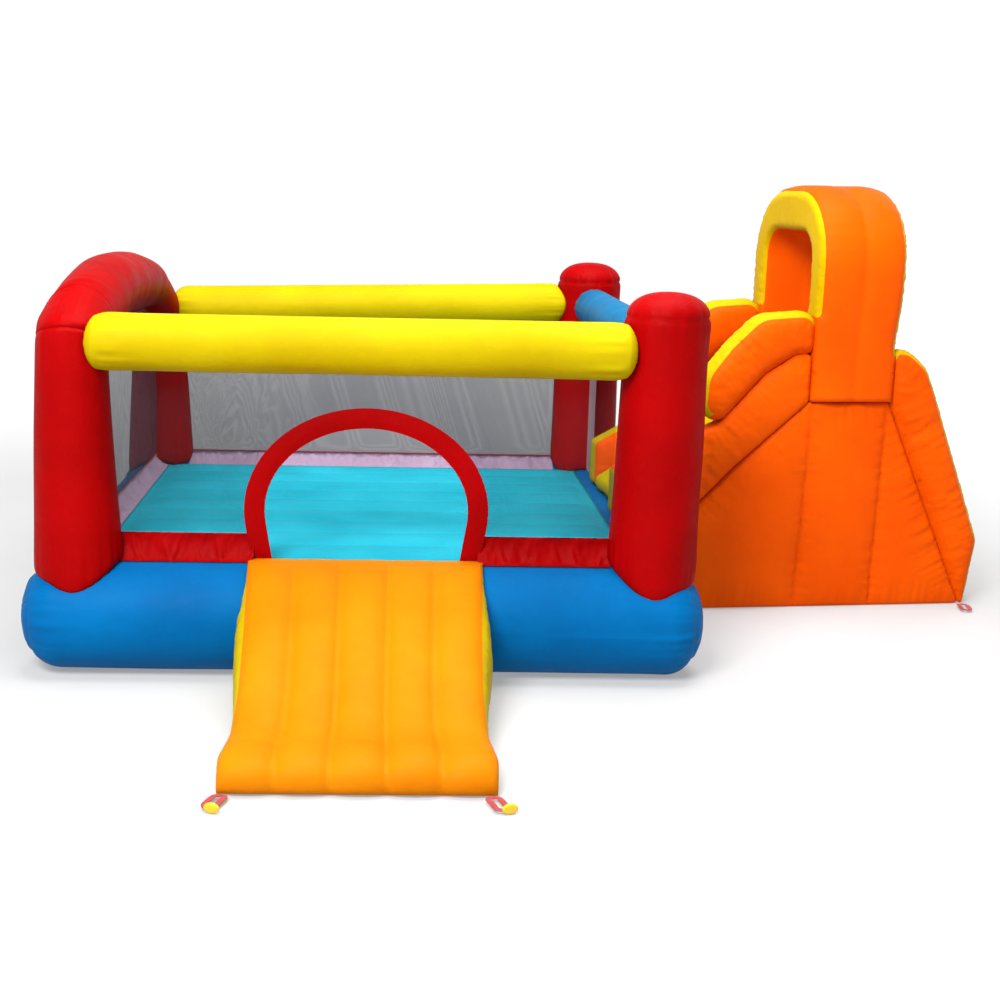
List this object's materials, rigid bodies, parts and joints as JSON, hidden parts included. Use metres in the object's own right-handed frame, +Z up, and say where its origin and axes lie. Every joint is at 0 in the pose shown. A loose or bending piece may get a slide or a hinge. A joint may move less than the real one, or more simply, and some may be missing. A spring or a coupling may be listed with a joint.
{
  "type": "inflatable bounce house",
  "caption": "Square inflatable bounce area with mesh walls, padded rails, a round entrance and ramp, and a side slide tower with an arch, kept up by a blower.",
  "frame": {"origin": "on the ground under the middle of the square bounce area", "axes": "+X to the right towards the slide tower, +Y away from the entrance, +Z up"},
  "size_m": [4.2233, 4.4098, 1.9315],
  "materials": {
    "blue_cloth": "coated woven cloth, satin",
    "floor_cloth": "coated woven cloth, satin",
    "red_cloth": "coated woven cloth, satin",
    "yellow_cloth": "coated woven cloth, satin",
    "sky_cloth": "coated woven cloth, satin",
    "orange_cloth": "coated woven cloth, satin",
    "ramp_cloth": "coated woven cloth, satin",
    "net_grey": "fine knitted safety mesh",
    "hem_cloth": "light uncoated cloth",
    "webbing_red": "woven webbing",
    "peg_yellow": "moulded",
    "duct_cloth": "coated woven cloth",
    "zip_black": "moulded",
    "zip_metal": "painted",
    "blower_shell": "moulded, fine grain",
    "blower_dark": "moulded",
    "motor_metal": "powder coat",
    "screw_steel": "machined",
    "rubber_feet": "moulded"
  },
  "bodies": {
    "house": {"base_tube_front": "blue_cloth", "base_tube_back": "blue_cloth", "base_tube_left": "blue_cloth", "base_tube_right": "blue_cloth", "bounce_floor": "floor_cloth", "pillar_front_left": "red_cloth", "pillar_back_left": "red_cloth", "pillar_front_right": "red_cloth", "pillar_back_right": "red_cloth", "left_arch": "red_cloth", "rail_front": "yellow_cloth", "rail_back": "yellow_cloth", "rail_right": "sky_cloth", "entrance_ring": "red_cloth", "entry_ramp": "ramp_cloth", "net_front": "net_grey", "front_apron": "red_cloth", "net_back": "net_grey", "hem_bands": "hem_cloth", "net_left": "net_grey", "mouth_panels": "hem_cloth", "ramp_sides": "yellow_cloth", "tower_wall_near": "orange_cloth", "slide_rail_near": "orange_cloth", "slide_guard_near": "orange_cloth", "climb_rail_near": "orange_cloth", "tower_wall_far": "orange_cloth", "slide_rail_far": "orange_cloth", "slide_guard_far": "orange_cloth", "climb_rail_far": "orange_cloth", "slide_bed": "orange_cloth", "tower_deck": "orange_cloth", "climb_wall": "orange_cloth", "climb_steps": "orange_cloth", "tower_arch": "orange_cloth", "inflation_sleeve": "duct_cloth", "sleeve_strap": "webbing_red", "zip_tape": "zip_black", "blower_case_intake": "blower_shell", "blower_case_motor": "blower_shell", "blower_grille": "blower_dark", "blower_motor": "motor_metal", "blower_feet": "rubber_feet", "blower_handle": "blower_dark", "blower_screws": "screw_steel", "blower_switch_box": "blower_dark", "blower_cord_inlet": "blower_dark"},
    "impeller": {"blower_impeller": "blower_dark"},
    "rocker": {"blower_rocker": "blower_dark"},
    "zip_slider": {"zip_slider": "zip_metal"},
    "zip_pull": {"zip_pull": "zip_metal"},
    "zip_flap": {"zip_flap": "blue_cloth"},
    "ramp_loop_left": {"ramp_loop_left": "webbing_red"},
    "ramp_loop_right": {"ramp_loop_right": "webbing_red"},
    "tower_loop_near": {"tower_loop_near": "webbing_red"},
    "tower_loop_far": {"tower_loop_far": "webbing_red"},
    "back_loop_left": {"back_loop_left": "webbing_red"},
    "back_loop_right": {"back_loop_right": "webbing_red"},
    "ground_peg_left": {"ground_peg_left": "peg_yellow"},
    "ground_peg_right": {"ground_peg_right": "peg_yellow"}
  },
  "joints": [
    {"name": "impeller_spin", "type": "hinge", "parent": "house", "child": "impeller", "pos_m": [0.56, 1.73, 0.152], "axis": [1, 0, 0], "continuous": true},
    {"name": "rocker_tilt", "type": "hinge", "parent": "house", "child": "rocker", "pos_m": [0.46, 1.73, 0.224], "axis": [0, 1, 0], "range_deg": [-12, 12]},
    {"name": "zip_run", "type": "slide", "parent": "house", "child": "zip_slider", "axis": [1, 0, 0], "range_m": [0, 0.21]},
    {"name": "zip_pull_swing", "type": "hinge", "parent": "zip_slider", "child": "zip_pull", "pos_m": [-0.708, 1.3505, 0.218], "axis": [1, 0, 0], "range_deg": [0, 28]},
    {"name": "zip_flap_lift", "type": "hinge", "parent": "house", "child": "zip_flap", "pos_m": [-0.6, 1.333, 0.259], "axis": [1, 0, 0], "range_deg": [0, 100]},
    {"name": "ramp_loop_left_lift", "type": "hinge", "parent": "house", "child": "ramp_loop_left", "pos_m": [-0.424, -2.418, 0.0135], "axis": [-0.9455, 0.3256, 0], "range_deg": [0, 80]},
    {"name": "ramp_loop_right_lift", "type": "hinge", "parent": "house", "child": "ramp_loop_right", "pos_m": [0.424, -2.418, 0.0135], "axis": [-0.9613, -0.2756, 0], "range_deg": [0, 80]},
    {"name": "tower_loop_near_lift", "type": "hinge", "parent": "house", "child": "tower_loop_near", "pos_m": [2.8147, -0.08365, 0.0135], "axis": [-0.9903, 0.1392, 0], "range_deg": [0, 80]},
    {"name": "tower_loop_far_lift", "type": "hinge", "parent": "house", "child": "tower_loop_far", "pos_m": [2.71169, 0.8205, 0.0135], "axis": [0.9816, 0.1908, 0], "range_deg": [0, 80]},
    {"name": "back_loop_left_lift", "type": "hinge", "parent": "house", "child": "back_loop_left", "pos_m": [-1.252, 1.285, 0.0135], "axis": [0.9848, 0.1736, 0], "range_deg": [0, 60]},
    {"name": "back_loop_right_lift", "type": "hinge", "parent": "house", "child": "back_loop_right", "pos_m": [1.252, 1.285, 0.0135], "axis": [0.9848, -0.1736, 0], "range_deg": [0, 60]},
    {"name": "ground_peg_left_pull", "type": "slide", "parent": "house", "child": "ground_peg_left", "axis": [-0.3256, -0.9455, 0], "range_m": [0, 0.12]},
    {"name": "ground_peg_right_pull", "type": "slide", "parent": "house", "child": "ground_peg_right", "axis": [0.2756, -0.9613, 0], "range_m": [0, 0.12]}
  ]
}
